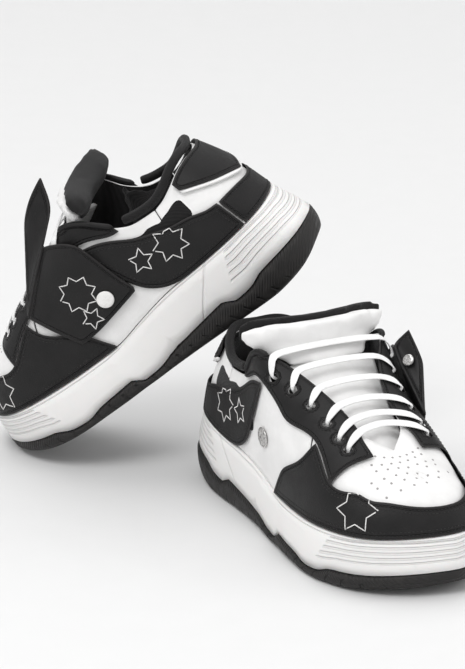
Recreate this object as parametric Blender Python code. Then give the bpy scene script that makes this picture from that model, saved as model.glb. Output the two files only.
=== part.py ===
# A pair of platform lace-up shoes with snap-on straps. The right shoe stands flat and the left shoe
# leans heel up with its sole on the right shoe's heel.
#
# Each shoe is built in its own frame, in millimetres: X from heel to toe, Y to the outer side of the
# foot, Z up from the tread. The right shoe is the mirror image of the left.
# A place on the upper is given by two numbers. w runs once round the shoe: 0 at the heel, 1 at the toe
# by the outer side, and -1 at the toe by the inner side. h runs from 0 at the sole to 1 at the collar,
# the throat or the crest of the toe.

import math

import bmesh
import bpy
import numpy as np
from mathutils import Euler, Vector

# The outsole's length, and how wide the shoe is beside the widths in the tables below. Every table is in
# millimetres for a sole of NOMINAL_LENGTH, so another length scales the whole shoe as another size would.
NOMINAL_LENGTH = 303.0
SOLE_LENGTH = 303.0
WIDTH_RATIO = 1.0
MM = 0.001 * SOLE_LENGTH / NOMINAL_LENGTH
GAP = 0.3

# Placement of each shoe: where its heel stands, and its turn about X, Y and Z. A wider fitting makes the
# leaning shoe rest further away, because the heel under it is wider.
RIGHT_PLACE = (0.0, 140.0, 0.0)
RIGHT_TURN = (0.0, 0.0, -90.0)
LEAN_AWAY = 35.0 * (WIDTH_RATIO - 1.0)
LEFT_PLACE = (52.7 - LEAN_AWAY, 117.7 + LEAN_AWAY, 164.3)
LEFT_TURN = (-7.2, 37.48, 138.9)

# The last: stations round half the shoe, from the heel at 0 to the toe at 1.
STATIONS = (0.0, 0.05, 0.11, 0.19, 0.28, 0.37, 0.46, 0.55, 0.64, 0.73, 0.82, 0.87, 0.92, 0.96, 1.0)
# Where the upper meets the sole: length, outer and inner half width, height of the sole's rim.
FOOT_X = (0, 3, 14, 34, 62, 92, 122, 150, 178, 206, 233, 248, 261, 272, 278)
FOOT_OUT = (0, 20, 33, 40, 43, 44, 46, 49, 53, 55, 51, 44, 32, 14, -12)
FOOT_IN = (0, 20, 32, 38, 40, 39, 39, 42, 46, 49, 47, 45, 39, 29, 12)
RIM_Z = (57, 57, 56, 54, 51.5, 49, 43, 37, 37, 38, 39, 39.5, 40, 41.5, 42)
# The upper's top line: the collar, then the throat, then the crest of the toe box.
TOP_X = (27, 29, 36, 48, 62, 80, 98, 117, 145, 176, 206, 220, 231, 240, 247)
TOP_OUT = (0, 14, 25, 33, 37, 39, 42, 47, 31, 20, 14, 0, -2, -4, -6)
TOP_IN = (0, 14, 25, 33, 37, 39, 42, 47, 31, 19, 13, 0, 2, 4, 6)
TOP_Z = (116.6, 118.6, 116.5, 109, 104, 105, 115, 133, 119, 104, 90.5, 83.5, 80, 76, 71)
# The sole's outermost line, which flares past the foot at the heel.
SOLE_X = (-17, -13, -1, 23, 54, 88, 120, 150, 180, 208, 237, 252, 266, 279, 286)
SOLE_OUT = (0, 21, 35, 42, 45, 46, 49, 54, 59, 60, 54, 46, 34, 16, -12)
SOLE_IN = (0, 21, 34, 40, 41, 39, 39, 43, 49, 53, 51, 48, 42, 32, 12)
WALL_BULGE = 3.5

# The outsole's stations, its height where it meets the midsole, and its lift off the floor. The step
# from one height to the next gives the lugs that rise into the midsole.
TREAD_STATIONS = (0.0, 0.04, 0.08, 0.13, 0.19, 0.215, 0.24, 0.285, 0.31, 0.38, 0.44, 0.465, 0.49, 0.54,
                  0.565, 0.62, 0.665, 0.69, 0.72, 0.76, 0.785, 0.83, 0.88, 0.92, 0.96, 1.0)
TREAD_TOP = (29, 28.5, 27, 25, 22, 20.5, 15, 14, 19, 14.5, 11, 9, 5.5, 5,
             11, 9.5, 8.5, 5, 5, 6, 11, 11.5, 13, 15, 17.5, 18.5)
TREAD_LIFT = (13, 12, 8.5, 4, 0.8, 0, 0, 0, 0, 0, 0, 0, 0, 0,
              0, 0, 0, 0, 0, 0, 0, 0.8, 3, 5, 7.5, 9)
TREAD_BEVEL = 3.0

# Leather thicknesses: how far each layer stands off the last.
BASE = (0.0, 1.2)
OVERLAY = (2.7, 3.4)
TAB = (3.9, 5.1)
PIPING = (2.2, 4.7)
BASE_FOOT = 0.01
OVERLAY_FOOT = 0.012
TOP_EDGE = 0.965
# Heights of the side panel's rows, closer where the last turns in to the throat.
SIDE_ROWS = (BASE_FOOT, 0.20, 0.40, 0.58, 0.72, 0.85, TOP_EDGE)
# Columns that every piece shares where the last is tightly curved: round the heel and round the toe.
HEEL_STEP = 0.04
VAMP_ROWS = 5
TOE_COLUMNS = (0.722, 0.752, 0.782, 0.82, 0.855, 0.87, 0.895, 0.92, 0.96, 1.0)

# Sole cup.
RIM_OVERHANG = 3.5
RIM_INSET = 3.0
CUP_INSET = 5.0
CUP_DEPTH = 14.0
BOARD_THICK = 2.0
FOOTBED_THICK = 4.5

# Closing.
EYES = ((0.585, 0.775), (0.63, 0.77), (0.682, 0.755), (0.733, 0.735), (0.775, 0.715), (0.805, 0.70))
EYE_RADIUS = 3.6
LACE_WIDTH = 7.0
LACE_THICK = 1.8
LACE_NECK = 3.6
LACE_OVER = OVERLAY[1] + GAP + 1.4
LACE_UNDER = -3.2
SNAP_PLACE = (0.51, 0.335)
STUD_RADIUS = 7.2
STUD = (1.7, 3.0)
STRAP_THICK = 1.4
STRAP_LOW = 4.3
STRAP_RISE = 4.4
SNAP_CAP = (6.1, 8.1)
SNAP_CAP_RADIUS = 6.8
FOLD_BEYOND = 1.9
FOLD_LIFT = 0.8
WING_CUP = 2.5
SOCKET_RADIUS = 4.5
SOCKET_THICK = 1.6
SOCKET_STAND = 3.0

# Tongue.
TONGUE_ROWS = ((229, 74, 17), (212, 82, 19), (193, 92, 22), (172, 102, 26), (150, 112, 32), (134, 120, 37.5),
               (126, 124.5, 39.5))
TONGUE_THICK = 3.0
TONGUE_CROWN = 7.0
TONGUE_PIVOT = (119.0, 0.0, 126.0)
TONGUE_FOOT_Z = 126.5
TONGUE_HEAD_Z = 149.0
TONGUE_FRONT = 125.0
TONGUE_SWEEP = 15.0
TONGUE_PAD = 13.0
TONGUE_HALF = (41.0, 57.0)
LINING_PAD = 11.0

# Collar.
BINDING_RADIUS = 3.9
BINDING_END = 0.40
BINDING_LIFT = 3.4
LINING_OFF = -0.5
LINING_END = 0.48
LINING_FOOT = 0.25
LINING_EDGE = 3.0
LINING_PUFF = 6.0

LEFT_WING = ((154.0, 20.0, 147.0), (122.0, 20.0, 167.0), (127.5, 25.0, 146.0))
RIGHT_WING = ((164, 57, 122), (146, 56, 140), (139, 51, 131))

BLACK = (0.021, 0.018, 0.017, 1.0)
BLACK_CLOTH = (0.016, 0.014, 0.014, 1.0)
RUBBER_BLACK = (0.033, 0.029, 0.028, 1.0)
WHITE = (0.92, 0.91, 0.90, 1.0)
FOAM_WHITE = (0.87, 0.85, 0.84, 1.0)
LACE_WHITE = (0.94, 0.94, 0.94, 1.0)
SILVER = (0.75, 0.74, 0.72, 1.0)
BOARD_GREY = (0.35, 0.33, 0.30, 1.0)


def clear_scene():
    for obj in list(bpy.data.objects):
        bpy.data.objects.remove(obj, do_unlink=True)


def material(name, colour, roughness, metallic=0.0):
    made = bpy.data.materials.new(name)
    made.use_nodes = True
    shader = made.node_tree.nodes["Principled BSDF"]
    shader.inputs["Base Color"].default_value = colour
    shader.inputs["Roughness"].default_value = roughness
    shader.inputs["Metallic"].default_value = metallic
    made.diffuse_color = colour
    return made


def slopes(at, value):
    """Slopes of a smooth curve through the values that never runs past them."""
    step = np.diff(at)
    rise = np.diff(value) / step
    slope = np.zeros(len(at))
    for i in range(1, len(at) - 1):
        if rise[i - 1] * rise[i] > 0:
            a = 2 * step[i] + step[i - 1]
            b = step[i] + 2 * step[i - 1]
            slope[i] = (a + b) / (a / rise[i - 1] + b / rise[i])
    return slope


class Ring:
    """A size that varies smoothly once round the shoe."""

    def __init__(self, outer, inner, sign=1.0):
        outer = np.array(outer, float)
        inner = np.array(inner, float)[::-1][1:] * sign
        half = np.array(STATIONS)
        turn = np.concatenate([half, (2 - half[::-1])[1:]])[:-1]
        value = np.concatenate([outer, inner])[:-1]
        self.at = np.concatenate([turn - 2, turn, turn + 2, turn[:1] + 4])
        self.value = np.concatenate([value, value, value, value[:1]])
        self.slope = slopes(self.at, self.value)

    def __call__(self, w):
        w = np.mod(np.asarray(w, float), 2.0)
        i = np.clip(np.searchsorted(self.at, w, side="right") - 1, 0, len(self.at) - 2)
        step = self.at[i + 1] - self.at[i]
        t = (w - self.at[i]) / step
        before = (2 * t**3 - 3 * t**2 + 1) * self.value[i] + (t**3 - 2 * t**2 + t) * step * self.slope[i]
        after = (3 * t**2 - 2 * t**3) * self.value[i + 1] + (t**3 - t**2) * step * self.slope[i + 1]
        return before + after


def widths(table):
    """Half widths of a table at the shoe's own fitting."""
    return [WIDTH_RATIO * y for y in table]


foot_x, foot_y, rim_z = Ring(FOOT_X, FOOT_X), Ring(widths(FOOT_OUT), widths(FOOT_IN), -1), Ring(RIM_Z, RIM_Z)
top_x, top_y, top_z = Ring(TOP_X, TOP_X), Ring(widths(TOP_OUT), widths(TOP_IN), -1), Ring(TOP_Z, TOP_Z)
sole_x, sole_y = Ring(SOLE_X, SOLE_X), Ring(widths(SOLE_OUT), widths(SOLE_IN), -1)


def outward(along_x, along_y, w):
    """Level normal of a plan outline, pointing away from the foot."""
    e = 0.004
    dx = along_x(w + e) - along_x(w - e)
    dy = along_y(w + e) - along_y(w - e)
    normal = np.stack([-dy, dx], -1)
    return normal / np.linalg.norm(normal, axis=-1, keepdims=True)


def on_last(w, h):
    """Point of the upper's inner surface."""
    w, h = np.broadcast_arrays(np.asarray(w, float), np.asarray(h, float))
    station = np.mod(w, 2.0)
    station = np.where(station > 1, 2 - station, station)
    k = np.clip((station - 0.35) / 0.4, 0, 1)
    k = k * k * (3 - 2 * k)
    turn = h * math.pi / 2
    across = (1 - k) * h + k * (1 - np.cos(turn))
    rise = (1 - k) * h + k * np.sin(turn)
    foot = np.stack([foot_x(w), foot_y(w)], -1)
    top = np.stack([top_x(w), top_y(w)], -1)
    bulge = WALL_BULGE * (1 - k) * np.sin(math.pi * np.clip(h, 0, 1))
    plan = foot + (top - foot) * across[..., None] + outward(foot_x, foot_y, w) * bulge[..., None]
    z = rim_z(w) + (top_z(w) - rim_z(w)) * rise
    return np.concatenate([plan, z[..., None]], -1)


def last_normal(w, h):
    e = 0.004
    along = on_last(w + e, h) - on_last(w - e, h)
    up = on_last(w, np.minimum(h + e, 1)) - on_last(w, np.maximum(h - e, 0))
    normal = np.cross(up, along)
    return normal / np.linalg.norm(normal, axis=-1, keepdims=True)


def off_last(w, h, off):
    """Point that stands off the last, along its normal."""
    w, h = np.broadcast_arrays(np.asarray(w, float), np.asarray(h, float))
    off = np.broadcast_to(np.asarray(off, float), w.shape)
    return on_last(w, h) + last_normal(w, h) * off[..., None]


def even(points, count):
    """The polyline's points, spaced evenly as count + 1 points."""
    points = np.array(points, float)
    run = np.concatenate([[0], np.cumsum(np.linalg.norm(np.diff(points, axis=0), axis=1))])
    at = np.linspace(0, run[-1], count + 1)
    return np.stack([np.interp(at, run, points[:, k]) for k in range(points.shape[1])], -1)


class Shoe:
    """One shoe: its placing empty, and the side that its outer face is on."""

    def __init__(self, name, place, turn, flip):
        self.name = name
        self.flip = flip
        self.empty = bpy.data.objects.new(name + "_placing", None)
        self.empty.location = Vector(place) * MM
        self.empty.rotation_euler = Euler([math.radians(t) for t in turn], "XYZ")
        bpy.context.scene.collection.objects.link(self.empty)

    def hand(self, points):
        points = np.array(points, float)
        points[..., 1] *= self.flip
        return points

    def add(self, name, points, faces, look, pivot=(0.0, 0.0, 0.0), smooth=True, merge=0.0):
        """Makes a node from points in the shoe's frame, with its origin on its pivot."""
        pivot = self.hand(pivot)
        mesh = bpy.data.meshes.new(self.name + "_" + name)
        mesh.from_pydata(((self.hand(points) - pivot) * MM).tolist(), [], [list(f) for f in faces])
        work = bmesh.new()
        work.from_mesh(mesh)
        if merge:
            bmesh.ops.remove_doubles(work, verts=work.verts, dist=merge * MM)
        bmesh.ops.recalc_face_normals(work, faces=work.faces)
        work.to_mesh(mesh)
        work.free()
        for polygon in mesh.polygons:
            polygon.use_smooth = smooth
        mesh.materials.append(look)
        obj = bpy.data.objects.new(self.name + "_" + name, mesh)
        obj.location = Vector(pivot) * MM
        obj.parent = self.empty
        bpy.context.scene.collection.objects.link(obj)
        return obj


def slab(outer, inner):
    """Points and faces of a closed sheet between two grids of the same size."""
    rows, columns = outer.shape[:2]
    points = np.concatenate([outer.reshape(-1, 3), inner.reshape(-1, 3)])
    under = rows * columns
    faces = []
    for i in range(rows - 1):
        for j in range(columns - 1):
            a = i * columns + j
            faces.append((a, a + 1, a + columns + 1, a + columns))
            faces.append((under + a, under + a + columns, under + a + columns + 1, under + a + 1))
    edge = [(0, j) for j in range(columns - 1)]
    edge += [(i, columns - 1) for i in range(rows - 1)]
    edge += [(rows - 1, j) for j in range(columns - 1, 0, -1)]
    edge += [(i, 0) for i in range(rows - 1, 0, -1)]
    for k, (i, j) in enumerate(edge):
        m, n = edge[(k + 1) % len(edge)]
        a, b = i * columns + j, m * columns + n
        faces.append((b, a, under + a, under + b))
    return points, faces


def panel_grid(low, high, columns, rows):
    """The (w, h) grid ruled between two edges, spaced evenly or, with 0 columns, as the edges are given."""
    if columns:
        low, high = even(low, columns), even(high, columns)
    low, high = np.array(low, float), np.array(high, float)
    t = np.linspace(0, 1, rows + 1)[:, None, None]
    return low[None] * (1 - t) + high[None] * t


def panel(shoe, name, low, high, columns, rows, layer, look):
    """A leather panel that lies on the last between two edges."""
    grid = panel_grid(low, high, columns, rows)
    outer = off_last(grid[..., 0], grid[..., 1], layer[1])
    inner = off_last(grid[..., 0], grid[..., 1], layer[0])
    points, faces = slab(outer, inner)
    return shoe.add(name, points, faces, look)


def sided(edge, side):
    """The edge on the outer side (1) or the inner side (-1)."""
    return [(side * w, h) for w, h in edge]


def round_stations(stations):
    """Each station by the outer side, then back by the inner side."""
    stations = list(stations)
    return np.array(stations + [2 - s for s in stations[::-1][1:-1]])


def ladder(count, base, up):
    """Faces that close a ring of an even number of points, side to side."""
    faces = []
    half = count // 2
    for i in range(half):
        a, b = i, i + 1
        c, d = (count - b) % count, (count - a) % count
        corners = []
        for k in (a, b, c, d):
            if k not in corners:
                corners.append(k)
        faces.append([base + k for k in (corners if up else corners[::-1])])
    return faces


def stack(rings):
    """Points and faces of a solid made of closed rings, with its ends closed side to side."""
    count = len(rings[0])
    points = np.concatenate(rings)
    faces = ladder(count, 0, False)
    for level in range(len(rings) - 1):
        low, high = level * count, (level + 1) * count
        for i in range(count):
            j = (i + 1) % count
            faces.append((low + i, low + j, high + j, high + i))
    faces += ladder(count, (len(rings) - 1) * count, True)
    return points, faces


def outline(along_x, along_y, w, inset, z):
    """A plan outline drawn in by the inset, at the given heights."""
    plan = np.stack([along_x(w), along_y(w)], -1) - outward(along_x, along_y, w) * inset
    return np.concatenate([plan, np.broadcast_to(z, w.shape)[..., None]], -1)


def tread_heights(w, values):
    station = np.where(w > 1, 2 - w, w)
    return np.interp(station, TREAD_STATIONS, values)


def make_outsole(shoe, look):
    w = round_stations(TREAD_STATIONS)
    top = tread_heights(w, TREAD_TOP)
    lift = tread_heights(w, TREAD_LIFT)
    rings = [
        outline(sole_x, sole_y, w, TREAD_BEVEL, lift),
        outline(sole_x, sole_y, w, 0.0, lift + 0.4 * (top - lift)),
        outline(sole_x, sole_y, w, 0.0, top),
    ]
    shoe.add("outsole", *stack(rings), look)


def make_midsole(shoe, look):
    w = round_stations(TREAD_STATIONS)
    foot = tread_heights(w, TREAD_TOP) + GAP
    rim = rim_z(w)
    rings = [
        outline(sole_x, sole_y, w, 0.0, foot),
        outline(foot_x, foot_y, w, -RIM_OVERHANG, rim),
        outline(foot_x, foot_y, w, RIM_INSET, rim),
        outline(foot_x, foot_y, w, CUP_INSET, rim - CUP_DEPTH),
    ]
    shoe.add("midsole", *stack(rings), look)


def make_inner_sole(shoe, name, inset, low, thick, look):
    """A flat piece that lies in the cup and follows its floor."""
    w = round_stations(STATIONS)
    floor = rim_z(w) - CUP_DEPTH + low
    rings = [
        outline(foot_x, foot_y, w, inset, floor),
        outline(foot_x, foot_y, w, inset, floor + thick),
    ]
    shoe.add(name, *stack(rings), look)


def make_vamp(shoe, look):
    """The toe box: one skin from the outer side over the toe to the inner side, joined on its crest."""
    columns = np.array((0.705,) + TOE_COLUMNS)
    columns = np.concatenate([columns, (2 - columns[::-1])[1:]])
    station = np.where(columns > 1, 2 - columns, columns)
    high = np.interp(station, [0.795, 0.87], [TOP_EDGE, 1.0])
    rows = np.linspace(0, 1, VAMP_ROWS + 1)[:, None]
    h = BASE_FOOT + (high[None] - BASE_FOOT) * rows
    w = np.broadcast_to(columns, h.shape)
    grids = []
    for off in (BASE[1], BASE[0]):
        grid = off_last(w, h, off)
        crest = grid[-1].copy()
        joined = station >= 0.87
        grid[-1][joined] = 0.5 * (crest + crest[::-1])[joined]
        grids.append(grid)
    points, faces = slab(*grids)
    # The two halves of the crest meet, so the wall between them goes and the points are merged.
    count = len(columns)
    crest_points = {VAMP_ROWS * count + j for j in range(count) if joined[j]}
    under = (VAMP_ROWS + 1) * count
    kept = []
    for face in faces:
        outer = [p for p in face if p < under]
        if len(outer) == 2 and all(p in crest_points for p in outer):
            continue
        kept.append(face)
    return shoe.add("vamp", points, kept, look, merge=0.02)


def make_sides(shoe, vamp, white, black):
    for side, word in ((1, "outer"), (-1, "inner")):
        w, h = np.meshgrid(side * np.linspace(0.284, 0.70, 18), SIDE_ROWS)
        base = shoe.add("side_panel_" + word, *slab(off_last(w, h, BASE[1]), off_last(w, h, BASE[0])), white)
        outer_edge = [(0.425, 0.93), (0.445, 0.885), (0.485, 0.85), (0.515, 0.80), (0.545, 0.735), (0.568, 0.665),
                      (0.592, 0.585), (0.613, 0.505), (0.64, 0.505), (0.665, 0.53), (0.693, 0.547), (0.72, 0.55),
                      (0.75, 0.485), (0.775, 0.405), (0.79, 0.35)]
        throat_edge = [(0.44, 0.985), (0.47, 0.99), (0.50, 0.99), (0.53, 0.99), (0.56, 0.99), (0.59, 0.99),
                       (0.62, 0.99), (0.65, 0.99), (0.685, 0.99), (0.72, 0.99), (0.755, 0.99), (0.785, 0.98),
                       (0.81, 0.94), (0.832, 0.86), (0.852, 0.77)]
        stay = panel(shoe, "eyestay_" + word, sided(outer_edge, side), sided(throat_edge, side), 22, 5, OVERLAY,
                     black)
        cut_eyes(shoe, side, (base, stay, vamp))
        low = [(0.124, OVERLAY_FOOT), (0.16, OVERLAY_FOOT), (0.20, OVERLAY_FOOT), (0.24, OVERLAY_FOOT),
               (0.28, OVERLAY_FOOT), (0.325, OVERLAY_FOOT), (0.36, 0.06), (0.395, 0.17), (0.43, 0.30),
               (0.47, 0.50), (0.543, 0.67)]
        high = [(0.124, 0.41), (0.16, 0.45), (0.20, 0.575), (0.24, 0.63), (0.28, 0.68), (0.325, 0.75),
                (0.375, 0.79), (0.42, 0.83), (0.46, 0.84), (0.50, 0.79), (0.545, 0.70)]
        panel(shoe, "quarter_" + word, sided(low, side), sided(high, side), 0, 3, OVERLAY, black)


def cut_eyes(shoe, side, pieces):
    """Drills the six eyelets of one side through the eyestay and the panel under it."""
    sides = 6
    points = []
    faces = []
    for w, h in EYES:
        centre = on_last(side * w, h)
        normal = last_normal(side * w, h)
        first = np.cross(normal, (0, 0, 1.0))
        first /= np.linalg.norm(first)
        second = np.cross(normal, first)
        start = len(points)
        for depth in (-6.0, 9.0):
            for k in range(sides):
                turn = 2 * math.pi * k / sides
                ring = first * math.cos(turn) + second * math.sin(turn)
                points.append(centre + normal * depth + ring * EYE_RADIUS)
        for k in range(sides):
            m = (k + 1) % sides
            faces.append((start + k, start + m, start + sides + m, start + sides + k))
        faces.append([start + k for k in range(sides)][::-1])
        faces.append([start + sides + k for k in range(sides)])
    cutter = shoe.add("eye_cutter_%d" % side, points, faces, pieces[0].data.materials[0], smooth=False)
    cutter.hide_render = True
    cutter.display_type = "WIRE"
    for piece in pieces:
        cut = piece.modifiers.new("eyelets_%d" % side, "BOOLEAN")
        cut.operation = "DIFFERENCE"
        cut.solver = "EXACT"
        cut.object = cutter


def make_toe_guard(shoe, look):
    """The black rand round the toe. Its upper edge dips and rises against the white toe box."""
    rear_low = [(0.54, OVERLAY_FOOT), (0.60, OVERLAY_FOOT), (0.65, OVERLAY_FOOT), (0.70, OVERLAY_FOOT)]
    rear_high = [(0.605, 0.215), (0.65, 0.28), (0.685, 0.36), (0.705, 0.45)]
    toe_high = (0.530, 0.462, 0.352, 0.34, 0.40, 0.38, 0.36, 0.39, 0.36, 0.40)
    low = rear_low + [(w, OVERLAY_FOOT) for w in TOE_COLUMNS]
    high = rear_high + list(zip(TOE_COLUMNS, toe_high))
    low += [(2 - w, h) for w, h in low[::-1][1:]]
    high += [(2 - w, h) for w, h in high[::-1][1:]]
    panel(shoe, "toe_guard", low, high, 0, 3, OVERLAY, look)


def heel_columns(reach):
    count = round(reach / HEEL_STEP)
    return np.arange(-count, count + 1) * HEEL_STEP


def heel_panel(shoe, name, low, high, reach, rows, layer, look):
    """A panel round the heel. Its edges are given from the middle of the heel to one side."""
    w = heel_columns(reach)
    at = np.linspace(0, reach, len(low))
    low_edge = list(zip(w, np.interp(np.abs(w), at, low)))
    at = np.linspace(0, reach, len(high))
    high_edge = list(zip(w, np.interp(np.abs(w), at, high)))
    panel(shoe, name, low_edge, high_edge, 0, rows, layer, look)


def make_heel(shoe, white, black, cloth):
    heel_panel(shoe, "collar_band", (BASE_FOOT, BASE_FOOT), (TOP_EDGE, TOP_EDGE), 0.28, 5, BASE, white)
    heel_panel(shoe, "heel_counter", (OVERLAY_FOOT, OVERLAY_FOOT), (0.33, 0.36, 0.385, 0.40), 0.12, 2, OVERLAY,
               black)
    heel_panel(shoe, "heel_tab", (0.43, 0.50, 0.58, 0.70, 0.83), (0.95, 0.95, 0.95, 0.95, 0.94), 0.16, 2, TAB,
               black)
    heel_panel(shoe, "heel_piping", (0.385, 0.455, 0.535, 0.655, 0.785), (0.42, 0.49, 0.57, 0.69, 0.82), 0.16, 1,
               PIPING, white)
    make_binding(shoe, black)
    columns = heel_columns(LINING_END)[None]
    rows = np.linspace(LINING_FOOT, TOP_EDGE, 5)[:, None]
    w, h = np.broadcast_arrays(columns, rows)
    puff = np.sin(math.pi * (h - LINING_FOOT) / (TOP_EDGE - LINING_FOOT)) ** 0.6
    ends = np.clip((LINING_END - np.abs(w)) / 0.08, 0, 1)
    outer = off_last(w, h, LINING_OFF)
    inner = off_last(w, h, LINING_OFF - LINING_EDGE - LINING_PUFF * puff * ends)
    shoe.add("collar_lining", *slab(outer, inner), cloth)


def tube(path, across, over, widths, thicks, sides):
    """A closed tube along the path, flattened across it."""
    points = []
    faces = []
    for centre, a, b, wide, thick in zip(path, across, over, widths, thicks):
        for k in range(sides):
            turn = 2 * math.pi * (k + 0.5) / sides
            points.append(centre + a * (0.5 * wide * math.cos(turn)) + b * (0.5 * thick * math.sin(turn)))
    count = len(path)
    for i in range(count - 1):
        for k in range(sides):
            m = (k + 1) % sides
            faces.append((i * sides + k, i * sides + m, (i + 1) * sides + m, (i + 1) * sides + k))
    faces.append(list(range(sides))[::-1])
    faces.append([(count - 1) * sides + k for k in range(sides)])
    return np.array(points), faces


def make_binding(shoe, look):
    """The bound edge that rolls over the collar, from one eyestay round the heel to the other."""
    w = heel_columns(BINDING_END)
    path = off_last(w, 1.0, 0.3) + np.array([0, 0, BINDING_LIFT])
    along = np.gradient(path, axis=0)
    along /= np.linalg.norm(along, axis=1, keepdims=True)
    across = last_normal(w, 0.9)
    across -= along * (across * along).sum(1, keepdims=True)
    across /= np.linalg.norm(across, axis=1, keepdims=True)
    over = np.cross(along, across)
    wide = np.full(len(w), 2 * BINDING_RADIUS)
    shoe.add("collar_binding", *tube(path, across, over, wide, wide, 6), look)


def make_tongue(shoe, white, cloth):
    rows = []
    for x, crown, half in TONGUE_ROWS:
        row = []
        for t in np.linspace(-1, 1, 9):
            row.append((x, t * half * WIDTH_RATIO, crown - TONGUE_CROWN * t * t))
        rows.append(row)
    outer = np.array(rows, float)
    along = np.gradient(outer, axis=0)
    over = np.gradient(outer, axis=1)
    normal = np.cross(over, along)
    normal /= np.linalg.norm(normal, axis=-1, keepdims=True)
    normal *= np.sign(normal[..., 2:3])
    shoe.add("tongue", *slab(outer, outer - normal * TONGUE_THICK), white)

    heights = np.linspace(0, 1, 6)[:, None]
    t = np.linspace(-1, 1, 11)[None]
    half = TONGUE_HALF[0] + (TONGUE_HALF[1] - TONGUE_HALF[0]) * np.minimum(heights * 2.2, 1) ** 1.3
    y = t * half * WIDTH_RATIO
    z = TONGUE_FOOT_Z + (TONGUE_HEAD_Z - TONGUE_FOOT_Z) * heights - 3.0 * t**4 * heights + 0 * y
    front = TONGUE_FRONT - TONGUE_SWEEP * (t * half / TONGUE_HALF[1]) ** 2 + 0 * heights
    edge = (1 - t**6) * (0.55 + 0.45 * np.sin(math.pi * heights))
    pad = 4.0 + (TONGUE_PAD - 4.0) * edge
    outer = np.stack(np.broadcast_arrays(front, y, z), -1)
    inner = np.stack(np.broadcast_arrays(front - pad, y, z), -1)
    shoe.add("tongue_top", *slab(outer, inner), white, pivot=TONGUE_PIVOT)
    behind = front - pad - GAP
    lining = 3.0 + (LINING_PAD - 3.0) * (1 - t**6) * np.sin(math.pi * (0.12 + 0.8 * heights))
    z = z + 3.5 * heights**4
    outer = np.stack(np.broadcast_arrays(behind, y, z), -1)
    inner = np.stack(np.broadcast_arrays(behind - lining, y, z), -1)
    shoe.add("tongue_lining", *slab(outer, inner), cloth, pivot=TONGUE_PIVOT)


def lace_route():
    """The lace's middle line, with the direction of its width and its two sizes, from row to row."""
    stops = []
    flat = (LACE_WIDTH, LACE_THICK)
    neck = (LACE_NECK, LACE_THICK * 1.3)
    side = 1
    for row, (w, h) in enumerate(EYES):
        halves = []
        for at in (side * w, -side * w):
            half = [(off_last(at, h, LACE_OVER), neck)]
            half.append((off_last(at, h + 0.55 * (TOP_EDGE - h), LACE_OVER + 0.3), flat))
            half.append((off_last(at, 1.0, LACE_OVER - 0.6), flat))
            halves.append(half)
        middle = 0.5 * (halves[0][-1][0] + halves[1][-1][0]) + np.array([0, 0, 2.2])
        bar = halves[0] + [(middle, flat)] + halves[1][::-1]
        dive = off_last(-side * w, h, LACE_UNDER)
        if row == 0:
            stops.append((off_last(side * w, h, LACE_UNDER), neck))
        stops += bar
        stops.append((dive, neck))
        if row + 1 < len(EYES):
            stops.append((off_last(-side * EYES[row + 1][0], EYES[row + 1][1], LACE_UNDER), neck))
        side = -side
    return stops


def make_lace(shoe, look):
    stops = lace_route()
    path = np.array([p for p, _ in stops])
    widths = [s[0] for _, s in stops]
    thicks = [s[1] for _, s in stops]
    along = np.gradient(path, axis=0)
    along /= np.linalg.norm(along, axis=1, keepdims=True)
    throat = on_last(0.805, 1.0) - on_last(0.60, 1.0)
    throat[1] = 0.0
    throat /= np.linalg.norm(throat)
    across = throat[None] - along * (along @ throat)[:, None]
    across /= np.linalg.norm(across, axis=1, keepdims=True)
    over = np.cross(along, across)
    shoe.add("lace", *tube(path, across, over, widths, thicks, 6), look)


def disc(centre, normal, low, high, radius, crown, sides):
    """A round button along a normal, with its outer face a little domed."""
    first = np.cross(normal, (0, 0, 1.0))
    first /= np.linalg.norm(first)
    second = np.cross(normal, first)
    points = []
    for depth, size in ((low, 1.0), (low + 0.6 * (high - low), 1.0), (high, crown)):
        for k in range(sides):
            turn = 2 * math.pi * k / sides
            ring = first * math.cos(turn) + second * math.sin(turn)
            points.append(centre + normal * depth + ring * radius * size)
    faces = [list(range(sides))[::-1], [2 * sides + k for k in range(sides)]]
    for level in (0, sides):
        for k in range(sides):
            m = (k + 1) % sides
            faces.append((level + k, level + m, level + sides + m, level + sides + k))
    return np.array(points), faces


def strap_off(h):
    """How far the strap stands off the last: it rises over the laced eyestay."""
    t = np.clip((h - 0.50) / 0.25, 0, 1)
    return STRAP_LOW + STRAP_RISE * t * t * (3 - 2 * t)


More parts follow.
